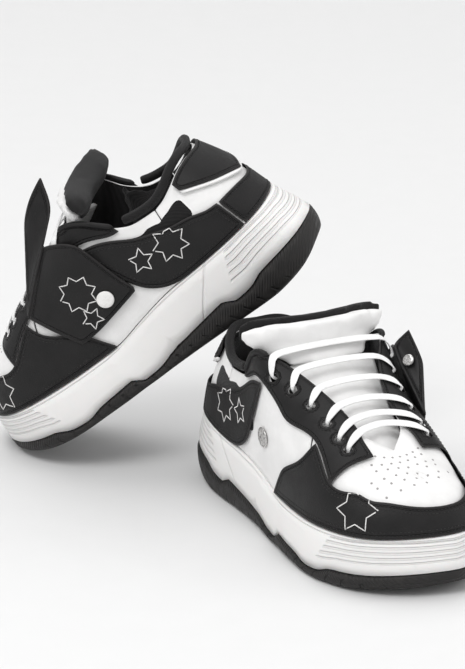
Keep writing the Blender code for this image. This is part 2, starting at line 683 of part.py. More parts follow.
def make_strap(shoe, side, wing, black, white, silver):
    """The snapped strap: its base on the side of the shoe, its button, and the free wing past the fold."""
    w, h = SNAP_PLACE
    centre, normal = on_last(side * w, h), last_normal(side * w, h)
    for word, at in (("outer", 1), ("inner", -1)):
        place, out = on_last(at * w, h), last_normal(at * w, h)
        shoe.add("snap_stud_" + word, *disc(place, out, STUD[0], STUD[1], STUD_RADIUS, 0.7, 12), silver)
    low = [(0.437, 0.29), (0.49, 0.22), (0.545, 0.165), (0.60, 0.125), (0.65, 0.315), (0.701, 0.525)]
    high = [(0.437, 0.34), (0.47, 0.52), (0.50, 0.675), (0.527, 0.79), (0.56, 0.855), (0.60, 0.875)]
    grid = panel_grid(sided(low, side), sided(high, side), 10, 4)
    off = strap_off(grid[..., 1])
    outer = off_last(grid[..., 0], grid[..., 1], off + STRAP_THICK)
    inner = off_last(grid[..., 0], grid[..., 1], off)
    pivot = centre
    shoe.add("strap_base", *slab(outer, inner), black, pivot=pivot)
    shoe.add("snap_cap", *disc(centre, normal, SNAP_CAP[0], SNAP_CAP[1], SNAP_CAP_RADIUS, 0.72, 12), white,
             pivot=pivot)
    fold_low = 0.5 * (outer[0, -1] + inner[0, -1])
    fold_high = 0.5 * (outer[-1, -1] + inner[-1, -1])
    head = np.array(wing, float)
    head[:, 1] *= side * WIDTH_RATIO
    lift = 0.5 * (head[0] + head[1]) - 0.5 * (fold_low + fold_high)
    lift /= np.linalg.norm(lift)
    beyond = 0.5 * (outer[:, -1] - outer[:, -2]).mean(0)
    beyond /= np.linalg.norm(beyond)
    step = beyond * FOLD_BEYOND + lift * FOLD_LIFT
    foot = 0.5 * (outer[:, -1] + inner[:, -1]) + step
    t = np.linspace(0, 1, 5)[None, :, None]
    rise = np.linspace(0, 1, 7)[:, None, None]
    crown = head[0] * (1 - t) + head[1] * t
    middle = foot[None] * (1 - rise) + crown * rise
    edge = even([foot[-1], head[2], head[1]], 6)[:, None] - (foot[-1] * (1 - rise) + head[1] * rise)
    face = np.cross(foot[-1] - foot[0], head[0] - foot[0])
    face /= np.linalg.norm(face)
    middle = middle + t * edge + face * WING_CUP * np.sin(math.pi * t) * rise
    fold = 0.5 * (fold_low + fold_high) + 0.5 * step
    shoe.add("strap_wing", *slab(middle + face * 0.5 * STRAP_THICK, middle - face * 0.5 * STRAP_THICK), black,
             pivot=fold)
    spot = middle[3, 2]
    out = np.cross(middle[4, 2] - middle[2, 2], middle[3, 3] - middle[3, 1])
    out *= -math.copysign(1.0, out[1] * side) / np.linalg.norm(out)
    low = 0.5 * STRAP_THICK + SOCKET_STAND
    shoe.add("snap_socket", *disc(spot, out, low, low + SOCKET_THICK, SOCKET_RADIUS, 0.7, 10), silver,
             pivot=fold)


def make_shoe(name, place, turn, flip, strap_side, wing, looks):
    shoe = Shoe(name, place, turn, flip)
    make_outsole(shoe, looks["rubber"])
    make_midsole(shoe, looks["foam"])
    make_inner_sole(shoe, "lasting_board", CUP_INSET + 1.2, GAP, BOARD_THICK, looks["board"])
    make_inner_sole(shoe, "footbed", CUP_INSET + 1.5, BOARD_THICK + 2 * GAP, FOOTBED_THICK, looks["cloth"])
    vamp = make_vamp(shoe, looks["white"])
    make_sides(shoe, vamp, looks["white"], looks["black"])
    make_toe_guard(shoe, looks["black"])
    make_heel(shoe, looks["white"], looks["black"], looks["cloth"])
    make_tongue(shoe, looks["white"], looks["cloth"])
    make_lace(shoe, looks["lace"])
    make_strap(shoe, strap_side, wing, looks["black"], looks["white"], looks["silver"])


def main():
    clear_scene()
    looks = {
        "black": material("black_leather", BLACK, 0.42),
        "cloth": material("black_lining", BLACK_CLOTH, 0.85),
        "rubber": material("black_rubber", RUBBER_BLACK, 0.62),
        "white": material("white_leather", WHITE, 0.45),
        "foam": material("white_foam", FOAM_WHITE, 0.55),
        "lace": material("white_lace", LACE_WHITE, 0.85),
        "silver": material("silver_metal", SILVER, 0.25, 1.0),
        "board": material("fibre_board", BOARD_GREY, 0.8),
    }
    make_shoe("left", LEFT_PLACE, LEFT_TURN, 1.0, 1, LEFT_WING, looks)
    make_shoe("right", RIGHT_PLACE, RIGHT_TURN, -1.0, -1, RIGHT_WING, looks)


main()
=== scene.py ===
# %% [markdown]
# # A pair of cheer shoes
# Two thick-soled lace-up shoes in black and white leather. One stands on the floor and the other leans on its
# heel. The measured model gives every piece its place and size. This lesson dresses each piece: soft pads are
# puffed up, leather gets its grain and stitches, and the soles get their moulded ribs.
# %% Load the measured model
import math

import bmesh
import bpy
import numpy as np
from mathutils import Euler, Matrix, Vector
from mathutils.bvhtree import BVHTree
from mathutils.kdtree import KDTree


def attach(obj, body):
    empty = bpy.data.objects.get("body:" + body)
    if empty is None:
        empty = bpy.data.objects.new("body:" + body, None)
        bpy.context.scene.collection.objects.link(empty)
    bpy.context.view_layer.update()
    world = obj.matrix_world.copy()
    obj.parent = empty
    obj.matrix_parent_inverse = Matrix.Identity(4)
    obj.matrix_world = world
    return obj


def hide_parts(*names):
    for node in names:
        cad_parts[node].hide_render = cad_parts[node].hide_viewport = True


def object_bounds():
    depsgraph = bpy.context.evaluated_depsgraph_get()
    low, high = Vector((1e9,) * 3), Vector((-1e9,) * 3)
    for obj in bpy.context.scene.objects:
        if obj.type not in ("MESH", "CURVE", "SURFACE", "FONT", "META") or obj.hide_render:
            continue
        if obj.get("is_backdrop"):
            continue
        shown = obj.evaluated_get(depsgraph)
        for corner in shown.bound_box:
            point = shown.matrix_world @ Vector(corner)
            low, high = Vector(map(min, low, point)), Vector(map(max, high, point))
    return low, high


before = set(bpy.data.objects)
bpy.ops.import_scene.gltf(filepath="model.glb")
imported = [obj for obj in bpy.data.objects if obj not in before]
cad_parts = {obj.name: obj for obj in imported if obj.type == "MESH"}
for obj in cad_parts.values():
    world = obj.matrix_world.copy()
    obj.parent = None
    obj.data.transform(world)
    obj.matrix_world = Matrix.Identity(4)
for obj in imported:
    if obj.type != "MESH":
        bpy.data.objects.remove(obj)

CAD_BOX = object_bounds()
MM = 0.001
scene = bpy.context.scene
print("nodes", len(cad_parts), "box", [round(v, 3) for corner in CAD_BOX for v in corner])

# %% [markdown]
# ## Where each shoe lies
# Both shoes are the same shape, mirrored. So most pieces are made once, in a shoe's own frame with X from heel to
# toe, Y to the outer side and Z up, and then a matrix puts a copy on each shoe. A mirrored copy is inside out
# until its faces are turned round.
# %% The two shoes' places
turn = Euler([math.radians(a) for a in (-7.2, 37.48, 138.9)], "XYZ").to_matrix().to_4x4()
PLACES = {
    "left": Matrix.Translation((0.0527, 0.1177, 0.1643)) @ turn,
    "right": Matrix(((0, -1, 0, 0), (-1, 0, 0, 0.140), (0, 0, 1, 0), (0, 0, 0, 1))),
}


def pattern(shoe, word):
    """A node's shape in the shoe's own frame, with its loose triangles merged back into larger faces."""
    shape = bmesh.new()
    shape.from_mesh(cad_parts[f"{shoe}_{word}"].data)
    shape.transform(PLACES[shoe].inverted())
    bmesh.ops.remove_doubles(shape, verts=shape.verts, dist=0.01 * MM)
    if PLACES[shoe].determinant() < 0:
        bmesh.ops.reverse_faces(shape, faces=shape.faces)
    bmesh.ops.join_triangles(shape, faces=shape.faces, angle_face_threshold=math.radians(32),
                             angle_shape_threshold=math.radians(60))
    return shape


print("shoes placed", list(PLACES))

# %% [markdown]
# ## The camera
# A long lens a little over two metres away, slightly above the shoes and to their left.
# %% Place the camera
AZIMUTH, ELEVATION = math.radians(-28.4), math.radians(18.25)
DISTANCE, LENS, SENSOR, FARTHEST = 2.2, 167.9, 36, 50
AIM_RIGHT, AIM_UP = -0.0709, 0.1363
back = Vector((math.sin(AZIMUTH) * math.cos(ELEVATION), -math.cos(AZIMUTH) * math.cos(ELEVATION),
               math.sin(ELEVATION)))
right = Vector((math.cos(AZIMUTH), math.sin(AZIMUTH), 0))
target = right * AIM_RIGHT + back.cross(right) * AIM_UP
camera = bpy.data.objects.new("camera", bpy.data.cameras.new("camera"))
scene.collection.objects.link(camera)
scene.camera = camera
camera.location = target + back * DISTANCE
camera.rotation_euler = back.to_track_quat("Z", "Y").to_euler()
camera.data.sensor_width = SENSOR
camera.data.lens = LENS
camera.data.clip_end = FARTHEST
print("camera at", [round(v, 3) for v in camera.location])

# %% [markdown]
# ## Node helpers
# A material is a small network. These two helpers keep each recipe short: one adds a node with its settings and
# links, the other starts a material with its fixed numbers on the shader's own sockets.
# %% Helpers for networks


def add(tree, kind, links=None, values=None, **settings):
    """A new node of a tree, its sockets filled by number or name from values and from other nodes' outputs."""
    node = tree.nodes.new(kind)
    for key, value in settings.items():
        setattr(node, key, value)
    for key, value in (values or {}).items():
        node.inputs[key].default_value = value
    for key, source in (links or {}).items():
        tree.links.new(source, node.inputs[key])
    return node


def start_material(name, **sockets):
    """A Principled material with fixed values, such as Roughness=0.4, and its tree and shader."""
    made = bpy.data.materials.new(name)
    made.use_nodes = True
    shader = made.node_tree.nodes["Principled BSDF"]
    for key, value in sockets.items():
        shader.inputs[key.replace("_", " ")].default_value = value
    return made, made.node_tree, shader


def start_group(name, inputs, outputs):
    """A shader group with named number inputs and named outputs."""
    group = bpy.data.node_groups.new(name, "ShaderNodeTree")
    for key, value in inputs.items():
        socket = group.interface.new_socket(key, in_out="INPUT", socket_type="NodeSocketFloat")
        socket.default_value = value
    for key in outputs:
        group.interface.new_socket(key, in_out="OUTPUT", socket_type="NodeSocketFloat")
    return group, group.nodes.new("NodeGroupInput"), group.nodes.new("NodeGroupOutput")


def attribute(tree, name, output="Fac"):
    return add(tree, "ShaderNodeAttribute", attribute_name=name).outputs[output]


def smooth_step(tree, value, low, high, to_low=0.0, to_high=1.0):
    """A number that eases from to_low to to_high while value goes from low to high."""
    return add(tree, "ShaderNodeMapRange", {0: value}, {1: low, 2: high, 3: to_low, 4: to_high},
               interpolation_type="SMOOTHSTEP").outputs[0]


def maths(tree, operation, a, b=0.0):
    """One sum of a number, or of two, each a socket or a plain value."""
    node = tree.nodes.new("ShaderNodeMath")
    node.operation = operation
    for socket, value in zip(node.inputs, (a, b)):
        if isinstance(value, (int, float)):
            socket.default_value = value
        else:
            tree.links.new(value, socket)
    return node.outputs[0]


# %% [markdown]
# ## Shared effects
# Leather grain is a field of tiny rounded cells with soft creases between them. A seam is a shallow groove that
# runs beside the edge of a panel, and the edge itself wears a little paler. Both are groups, so that every leather
# reads them in the same way. The seam group reads a distance that each panel carries as an attribute.
# %% Leather grain and seam groups
grain, grain_in, grain_out = start_group("leather_grain", {"Cells": 1100.0}, ["Height", "Fleck"])
place = add(grain, "ShaderNodeTexCoord").outputs["Object"]
cells = add(grain, "ShaderNodeTexVoronoi", {"Vector": place, "Scale": grain_in.outputs["Cells"]},
            {"Randomness": 0.95}, feature="SMOOTH_F1")
folds = add(grain, "ShaderNodeTexNoise", {"Vector": place}, {"Scale": 55.0, "Detail": 5.0, "Roughness": 0.6})
pores = add(grain, "ShaderNodeTexNoise", {"Vector": place}, {"Scale": 2600.0, "Detail": 2.0})
rough_height = maths(grain, "ADD", maths(grain, "MULTIPLY", cells.outputs["Distance"], 0.55),
                     maths(grain, "MULTIPLY", pores.outputs["Fac"], 0.2))
grain.links.new(maths(grain, "ADD", rough_height, maths(grain, "MULTIPLY", folds.outputs["Fac"], 1.1)),
                grain_out.inputs["Height"])
grain.links.new(folds.outputs["Fac"], grain_out.inputs["Fleck"])

seam, seam_in, seam_out = start_group("panel_seam", {"Distance": 9.0, "Row": 2.3}, ["Groove", "Worn"])
off_row = maths(seam, "ABSOLUTE", maths(seam, "SUBTRACT", seam_in.outputs["Distance"], seam_in.outputs["Row"]))
seam.links.new(smooth_step(seam, off_row, 0.0, 0.9, 1.0, 0.0), seam_out.inputs["Groove"])
seam.links.new(smooth_step(seam, seam_in.outputs["Distance"], 0.0, 0.9, 1.0, 0.0), seam_out.inputs["Worn"])


def use_group(tree, group, links=None, values=None):
    node = tree.nodes.new("ShaderNodeGroup")
    node.node_tree = group
    for key, value in (values or {}).items():
        node.inputs[key].default_value = value
    for key, source in (links or {}).items():
        tree.links.new(source, node.inputs[key])
    return node


def tint(tree, shader, amount, dark, light):
    """Base colour that runs between two colours by amount."""
    blend = add(tree, "ShaderNodeMix", {"Factor": amount}, data_type="RGBA")
    blend.inputs[6].default_value = (*dark, 1)
    blend.inputs[7].default_value = (*light, 1)
    tree.links.new(blend.outputs[2], shader.inputs["Base Color"])
    return blend


def polish(tree, shader, amount, low, high):
    """Roughness that eases from low to high as amount grows."""
    tree.links.new(smooth_step(tree, amount, 0.3, 0.7, low, high), shader.inputs["Roughness"])


def bump(tree, shader, height, distance, strength=1.0):
    node = add(tree, "ShaderNodeBump", {"Height": height}, {"Distance": distance, "Strength": strength})
    tree.links.new(node.outputs[0], shader.inputs["Normal"])


print("groups", grain.name, seam.name)

# %% [markdown]
# ## Leather
# The black panels are satin full-grain leather: nearly black, with a soft grey bloom on the folds and a faintly
# paler cut edge. The white leather is the same hide under white paint, smoother. In both, painted shade darkens
# the base colour along the stitched grooves. One function makes both, from their two colours and their polish.
# %% Make the leathers


def leather(name, dark, light, worn, low_rough, high_rough, cells, depth, shine):
    made, tree, shader = start_material(name, Specular_IOR_Level=shine)
    hide = use_group(tree, grain, values={"Cells": cells})
    edge = use_group(tree, seam, {"Distance": attribute(tree, "seam")})
    bloom = tint(tree, shader, smooth_step(tree, hide.outputs["Fleck"], 0.35, 0.68), dark, light)
    rub = add(tree, "ShaderNodeMix", {"Factor": edge.outputs["Worn"], 6: bloom.outputs[2]}, data_type="RGBA")
    rub.inputs[7].default_value = (*worn, 1)
    # Painted shade: the base colour darkens towards 0.45 of the dark colour along the stitched groove, where shade
    # would fall.
    painted_groove_shade = add(tree, "ShaderNodeMix", {"Factor": maths(tree, "MULTIPLY", edge.outputs["Groove"], 0.3),
                                         6: rub.outputs[2]}, data_type="RGBA")
    painted_groove_shade.inputs[7].default_value = (*[c * 0.45 for c in dark], 1)
    tree.links.new(painted_groove_shade.outputs[2], shader.inputs["Base Color"])
    polish(tree, shader, hide.outputs["Fleck"], low_rough, high_rough)
    height = maths(tree, "SUBTRACT", maths(tree, "MULTIPLY", hide.outputs["Height"], depth), edge.outputs["Groove"])
    bump(tree, shader, height, 0.0007)
    return made


black_leather = leather("black_leather", (0.0055, 0.0052, 0.0054), (0.0105, 0.0098, 0.0100), (0.024, 0.022, 0.022),
                        0.46, 0.60, 1100.0, 0.30, 0.30)
white_leather = leather("white_leather", (0.80, 0.795, 0.79), (0.86, 0.855, 0.85), (0.70, 0.69, 0.68),
                        0.40, 0.50, 1300.0, 0.18, 0.45)
print("leathers", black_leather.name, white_leather.name)

# %% [markdown]
# ## Rubber and foam
# The outsole is black rubber with a fine moulded line pattern. The midsole is white foam with a skin: level ribs
# at the heel and the toe, a slanting facet at the waist, and small scuffs near the ground. The rib grooves, the facet
# and the top lip are also darkened in the foam's colour as painted shade. The ribs follow two attributes of the
# piece: how far up its wall a point is, and how far along the shoe.
# %% Make the sole materials
black_rubber, tree, shader = start_material("black_rubber", Specular_IOR_Level=0.4)
own = attribute(tree, "shoe", "Vector")
split = add(tree, "ShaderNodeSeparateXYZ", {0: own})
LINES_PER_M, BLOCK = 2600.0, 0.0125
sloping = maths(tree, "ADD", split.outputs[0], maths(tree, "MULTIPLY", split.outputs[2], 0.8))
lines = maths(tree, "SINE", maths(tree, "MULTIPLY", sloping, LINES_PER_M))
level = smooth_step(tree, split.outputs[2], 0.004, 0.009)
dust = add(tree, "ShaderNodeTexNoise", {"Vector": own}, {"Scale": 160.0, "Detail": 6.0})
tint(tree, shader, smooth_step(tree, dust.outputs["Fac"], 0.42, 0.72), (0.0115, 0.0105, 0.0102), (0.024, 0.022, 0.021))
tree.links.new(smooth_step(tree, dust.outputs["Fac"], 0.35, 0.7, 0.52, 0.72), shader.inputs["Roughness"])
leaning = maths(tree, "SUBTRACT", split.outputs[0], maths(tree, "MULTIPLY", split.outputs[2], 0.5))
blocks = maths(tree, "ABSOLUTE", maths(tree, "SINE", maths(tree, "MULTIPLY", leaning, math.pi / BLOCK)))
cuts = maths(tree, "MULTIPLY", smooth_step(tree, blocks, 0.10, 0.28, 1.0, 0.0),
             smooth_step(tree, split.outputs[2], 0.0065, 0.0085, 1.0, 0.0))
relief = maths(tree, "SUBTRACT", maths(tree, "MULTIPLY", maths(tree, "MULTIPLY", lines, level), 0.25),
               maths(tree, "MULTIPLY", cuts, 5.0))
bump(tree, shader, maths(tree, "ADD", relief, maths(tree, "MULTIPLY", dust.outputs["Fac"], 0.5)), 0.00060)

white_foam, tree, shader = start_material("white_foam", Specular_IOR_Level=0.45, Subsurface_Weight=0.04,
                                          Subsurface_Scale=0.004)
up = attribute(tree, "up_wall")
along = attribute(tree, "along")
RIBS = 7.5
ribs = maths(tree, "SINE", maths(tree, "MULTIPLY", up, 2 * math.pi * RIBS))
ribs = smooth_step(tree, ribs, -0.7, 0.3)
heel = smooth_step(tree, maths(tree, "SUBTRACT", along, maths(tree, "MULTIPLY", up, -0.06)), 0.23, 0.24, 1.0, 0.0)
toe = smooth_step(tree, maths(tree, "SUBTRACT", along, maths(tree, "MULTIPLY", up, 0.08)), 0.74, 0.75)
band = maths(tree, "MULTIPLY", smooth_step(tree, up, 0.34, 0.37), smooth_step(tree, up, 0.88, 0.91, 1.0, 0.0))
ribbed = maths(tree, "MULTIPLY", maths(tree, "ADD", heel, toe), band)
cut = maths(tree, "MULTIPLY", maths(tree, "SUBTRACT", 1.0, ribs), ribbed)
slant = maths(tree, "ADD", along, maths(tree, "MULTIPLY", up, 0.10))
facet = maths(tree, "ABSOLUTE", maths(tree, "SUBTRACT", slant, 0.335))
facet = smooth_step(tree, facet, 0.0, 0.006, 1.0, 0.0)
lip = smooth_step(tree, maths(tree, "ABSOLUTE", maths(tree, "SUBTRACT", up, 0.93)), 0.0, 0.02, 1.0, 0.0)
carved = maths(tree, "ADD", cut, maths(tree, "MULTIPLY", maths(tree, "ADD", facet, lip), 0.7))
scuff = add(tree, "ShaderNodeTexNoise", {"Vector": attribute(tree, "shoe", "Vector")}, {"Scale": 90.0, "Detail": 8.0})
# Painted shade: the carved rib grooves, waist facet and top lip darken the colour, mixed with the real scuffs.
shade = maths(tree, "ADD", maths(tree, "MULTIPLY", carved, 0.24),
              smooth_step(tree, scuff.outputs["Fac"], 0.60, 0.85, 0.0, 0.14))
tint(tree, shader, shade, (0.84, 0.83, 0.82), (0.50, 0.485, 0.475))
polish(tree, shader, scuff.outputs["Fac"], 0.40, 0.55)
bump(tree, shader, maths(tree, "SUBTRACT", maths(tree, "MULTIPLY", scuff.outputs["Fac"], 0.12), carved), 0.0008)
print("sole materials ready")

# %% [markdown]
# ## Cloth, laces, thread and metal
# The lining is a soft knitted textile, the laces are a flat weave of plump crossing yarns, the thread is waxed, and
# the snaps are stamped metal with faint wear. Each one reads a pattern at its real size.
# %% Make the other materials


def cloth(name, dark, light, yarns, depth, rough, sheen):
    """A woven or knitted cloth: two crossing waves of yarn in the shoe's own frame."""
    made, tree, shader = start_material(name, Sheen_Weight=sheen, Sheen_Roughness=0.5, Specular_IOR_Level=0.25)
    own = attribute(tree, "shoe", "Vector")
    axes = add(tree, "ShaderNodeSeparateXYZ", {0: own})
    lengthwise = maths(tree, "ADD", axes.outputs[0], axes.outputs[2])
    warp, weft = (maths(tree, "SINE", maths(tree, "MULTIPLY", maths(tree, way, lengthwise, axes.outputs[1]), yarns))
                  for way in ("ADD", "SUBTRACT"))
    weave = maths(tree, "MULTIPLY", warp, weft)
    fuzz = add(tree, "ShaderNodeTexNoise", {"Vector": own}, {"Scale": 420.0, "Detail": 5.0})
    amount = maths(tree, "ADD", maths(tree, "MULTIPLY", weave, 0.28), fuzz.outputs["Fac"])
    tint(tree, shader, smooth_step(tree, amount, 0.15, 0.85), dark, light)
    polish(tree, shader, fuzz.outputs["Fac"], rough - 0.06, rough + 0.06)
    bump(tree, shader, maths(tree, "ADD", weave, fuzz.outputs["Fac"]), depth)
    return made


black_lining = cloth("black_lining", (0.005, 0.0048, 0.005), (0.016, 0.015, 0.0155), 4200.0, 0.00014, 0.86, 0.12)
black_binding = cloth("black_binding", (0.006, 0.0056, 0.0058), (0.015, 0.0142, 0.0146), 6200.0, 0.00010, 0.62, 0.06)
white_lace = cloth("white_lace", (0.86, 0.855, 0.85), (0.97, 0.97, 0.97), 5200.0, 0.00012, 0.82, 0.1)
black_thread = cloth("black_thread", (0.016, 0.015, 0.015), (0.045, 0.043, 0.043), 9000.0, 0.00005, 0.5, 0.0)
white_line = cloth("white_line", (0.66, 0.65, 0.64), (0.88, 0.87, 0.86), 9000.0, 0.00004, 0.55, 0.0)
fibre_board = cloth("fibre_board", (0.28, 0.25, 0.21), (0.42, 0.39, 0.34), 2500.0, 0.00010, 0.85, 0.0)


def worn(name, scale, high, dark, light, low_rough, high_rough, depth, **sockets):
    """A hard surface whose colour and polish vary with faint wear."""
    made, tree, shader = start_material(name, **sockets)
    wear = add(tree, "ShaderNodeTexNoise", {"Vector": attribute(tree, "shoe", "Vector")},
               {"Scale": scale, "Detail": 4.0})
    tint(tree, shader, smooth_step(tree, wear.outputs["Fac"], 0.35, high), dark, light)
    polish(tree, shader, wear.outputs["Fac"], low_rough, high_rough)
    bump(tree, shader, wear.outputs["Fac"], depth)
    return made


silver_metal = worn("silver_metal", 900.0, 0.7, (0.46, 0.45, 0.44), (0.68, 0.67, 0.66), 0.22, 0.38, 0.00008,
                    Metallic=1.0, Specular_IOR_Level=0.5)
white_enamel = worn("white_enamel", 500.0, 0.75, (0.86, 0.85, 0.84), (0.76, 0.75, 0.73), 0.25, 0.36, 0.00006,
                    Specular_IOR_Level=0.5, Coat_Weight=0.25, Coat_Roughness=0.15)

# Painted shade: a mid grey for the inside of the punched holes, worn as thin discs on the toe box.
painted_hole_shade, tree, shader = start_material("painted_hole_shade", Specular_IOR_Level=0.2)
wear = add(tree, "ShaderNodeTexNoise", {"Vector": attribute(tree, "shoe", "Vector")}, {"Scale": 1500.0})
tint(tree, shader, wear.outputs["Fac"], (0.30, 0.29, 0.285), (0.44, 0.43, 0.425))
polish(tree, shader, wear.outputs["Fac"], 0.7, 0.9)
print("materials", len(bpy.data.materials))

# %% [markdown]
# ## Shaping a panel
# The measured panels are plain slabs with straight-sided facets. A subdivision surface rounds them into a moulded
# skin, with a crease along the cut edges so that they stay crisp. The faces are sorted first into the outer face,
# the cut edge and the back, because the border between the outer face and the cut edge is where stitches follow.
# %% Sort faces and smooth a shape
SHARP, SOLE_SHARP = math.radians(42), math.radians(30)
OPEN_EDGE = 9.0
NO_SEAM = 9.0


def sort_faces(shape, both=False, limit=SHARP):
    """Marks each face: 0 for the shown face of a panel, 1 for its cut edges and 2 for its back."""
    left = set(shape.faces)
    regions = []
    while left:
        todo = [left.pop()]
        region = []
        while todo:
            face = todo.pop()
            region.append(face)
            for edge in face.edges:
                if edge.calc_face_angle(OPEN_EDGE) > limit:
                    continue
                for other in edge.link_faces:
                    if other in left:
                        left.discard(other)
                        todo.append(other)
        regions.append(region)
    total = sum(face.calc_area() for face in shape.faces)
    for region in regions:
        area = sum(face.calc_area() for face in region)
        facing = 0.0
        for face in region:
            middle = face.calc_center_median()
            outward = middle - Vector((middle.x, 0.0, 0.045))
            facing += face.calc_area() * face.normal.dot(outward.normalized())
        mark = 1 if area < 0.2 * total else 0 if facing > 0 or both else 2
        for face in region:
            face.material_index = mark


def all_shown(shape):
    """Marks every face as shown, for a moulded or sewn piece that has no back."""
    for face in shape.faces:
        face.material_index = 0
    return shape


def smooth_skin(shape, levels, crease, limit=SHARP):
    """The subdivided mesh of a shape, with its sharp edges held by a crease."""
    layer = shape.edges.layers.float.get("crease_edge") or shape.edges.layers.float.new("crease_edge")
    for edge in shape.edges:
        if edge.calc_face_angle(OPEN_EDGE) > limit:
            edge[layer] = crease
    mesh = bpy.data.meshes.new("work")
    shape.to_mesh(mesh)
    shape.free()
    work = bpy.data.objects.new("work", mesh)
    for _ in range(3):
        mesh.materials.append(None)
    scene.collection.objects.link(work)
    skin = work.modifiers.new("skin", "SUBSURF")
    skin.levels = skin.render_levels = levels
    graph = bpy.context.evaluated_depsgraph_get()
    made = bpy.data.meshes.new_from_object(work.evaluated_get(graph))
    bpy.data.objects.remove(work)
    return made


def points_of(mesh):
    co = np.empty(len(mesh.vertices) * 3)
    mesh.vertices.foreach_get("co", co)
    return co.reshape(-1, 3)


def write_number(mesh, name, values):
    layer = mesh.attributes.new(name, "FLOAT", "POINT")
    layer.data.foreach_set("value", np.asarray(values, np.float32))


def write_place(mesh):
    """Stores each point's place in the shoe's own frame, which patterns read after the shoe is tilted."""
    layer = mesh.attributes.new("shoe", "FLOAT_VECTOR", "POINT")
    layer.data.foreach_set("vector", points_of(mesh).astype(np.float32).ravel())


def built_mesh(shape, name):
    """The mesh of a shape made face by face, with its faces turned outwards."""
    bmesh.ops.recalc_face_normals(shape, faces=shape.faces)
    mesh = bpy.data.meshes.new(name)
    shape.to_mesh(mesh)
    shape.free()
    write_place(mesh)
    return mesh


def rim_of(mesh):
    """The border edges between the shown face and the cut edge, as chains of vertex numbers."""
    shape = bmesh.new()
    shape.from_mesh(mesh)
    shape.normal_update()
    shape.verts.ensure_lookup_table()
    near = {}
    ups = {}
    inner = {}
    for edge in shape.edges:
        marks = [face.material_index for face in edge.link_faces]
        if sorted(marks) != [0, 1] and sorted(marks) != [0, 2]:
            continue
        a, b = edge.verts
        near.setdefault(a.index, []).append(b.index)
        near.setdefault(b.index, []).append(a.index)
    for number in near:
        faces = [face for face in shape.verts[number].link_faces if face.material_index == 0]
        ups[number] = sum((face.normal for face in faces), Vector()).normalized()
        inner[number] = sum((face.calc_center_median() for face in faces), Vector()) / len(faces)
    chains = []
    left = set(near)
    while left:
        start = min(left)
        chain = [start]
        left.discard(start)
        while True:
            onward = [n for n in near[chain[-1]] if n in left]
            if not onward:
                break
            chain.append(onward[0])
            left.discard(onward[0])
        if len(chain) > 5:
            chains.append(chain)
    tree = BVHTree.FromBMesh(shape)
    spots = {number: shape.verts[number].co.copy() for number in near}
    shape.free()
    return chains, spots, ups, inner, tree


def seam_distance(mesh, chains, spots):
    """Each point's distance to the nearest rim, in millimetres."""
    dense = []
    for chain in chains:
        for a, b in zip(chain, chain[1:] + chain[:1]):
            steps = max(1, int((spots[a] - spots[b]).length / (0.6 * MM)))
            if steps > 60:
                continue
            dense += [spots[a].lerp(spots[b], i / steps) for i in range(steps)]
    finder = KDTree(max(1, len(dense)))
    for i, spot in enumerate(dense):
        finder.insert(spot, i)
    finder.balance()
    if not dense:
        return finder, np.full(len(mesh.vertices), NO_SEAM)
    return finder, np.array([finder.find(v.co)[2] for v in mesh.vertices]) / MM


print("panel helpers ready")

# %% [markdown]
# ## Stitches that follow an edge
# A sewing machine runs a row of short stitches about 2.3 mm inside each panel's edge. Geometry Nodes suits this:
# one tree resamples the row's path and sets the same small plump stitch on every point, turned along the path and
# up from the leather. The same tree makes every row on both shoes.
# %% Build the stitch tree


def start_tree(name, sizes):
    tree = bpy.data.node_groups.new(name, "GeometryNodeTree")
    tree.interface.new_socket("Geometry", in_out="INPUT", socket_type="NodeSocketGeometry")
    tree.interface.new_socket("Geometry", in_out="OUTPUT", socket_type="NodeSocketGeometry")
    for key, value in sizes.items():
        socket = tree.interface.new_socket(key, in_out="INPUT", socket_type="NodeSocketFloat")
        socket.default_value = value
    tree.interface.new_socket("Material", in_out="INPUT", socket_type="NodeSocketMaterial")
    return tree, tree.nodes.new("NodeGroupInput"), tree.nodes.new("NodeGroupOutput")


def set_on_points(tree, given, out, points, tangent, shape):
    """Copies a shape onto points, Z along the stored up direction and X along the tangent."""
    up_way = add(tree, "GeometryNodeInputNamedAttribute", values={"Name": "up"}, data_type="FLOAT_VECTOR")
    facing = add(tree, "FunctionNodeAxesToRotation", {0: up_way.outputs[0], 1: tangent},
                 primary_axis="Z", secondary_axis="X")
    copies = add(tree, "GeometryNodeInstanceOnPoints", {"Points": points, "Instance": shape,
                                                        "Rotation": facing.outputs[0]})
    real = add(tree, "GeometryNodeRealizeInstances", {0: copies.outputs[0]})
    soft = add(tree, "GeometryNodeSetShadeSmooth", {0: real.outputs[0]})
    coat = add(tree, "GeometryNodeSetMaterial", {"Geometry": soft.outputs[0], "Material": given.outputs["Material"]})
    tree.links.new(coat.outputs[0], out.inputs[0])


stitch_tree, given, out = start_tree("stitch_row", {"Spacing": 0.0027, "Length": 0.0019, "Width": 0.00062,
                                                    "Height": 0.0005})
row = add(stitch_tree, "GeometryNodeMeshToCurve", {0: given.outputs["Geometry"]})
spaced = add(stitch_tree, "GeometryNodeResampleCurve", {"Curve": row.outputs[0], "Length": given.outputs["Spacing"]},
             mode="LENGTH")
size = add(stitch_tree, "ShaderNodeCombineXYZ", {0: given.outputs["Length"], 1: given.outputs["Width"],
                                                 2: given.outputs["Height"]})
bead = add(stitch_tree, "GeometryNodeMeshIcoSphere", values={"Radius": 0.5, "Subdivisions": 1})
stitch = add(stitch_tree, "GeometryNodeTransform", {"Geometry": bead.outputs[0], "Scale": size.outputs[0]})
way = add(stitch_tree, "GeometryNodeInputTangent")
set_on_points(stitch_tree, given, out, spaced.outputs[0], way.outputs[0], stitch.outputs[0])

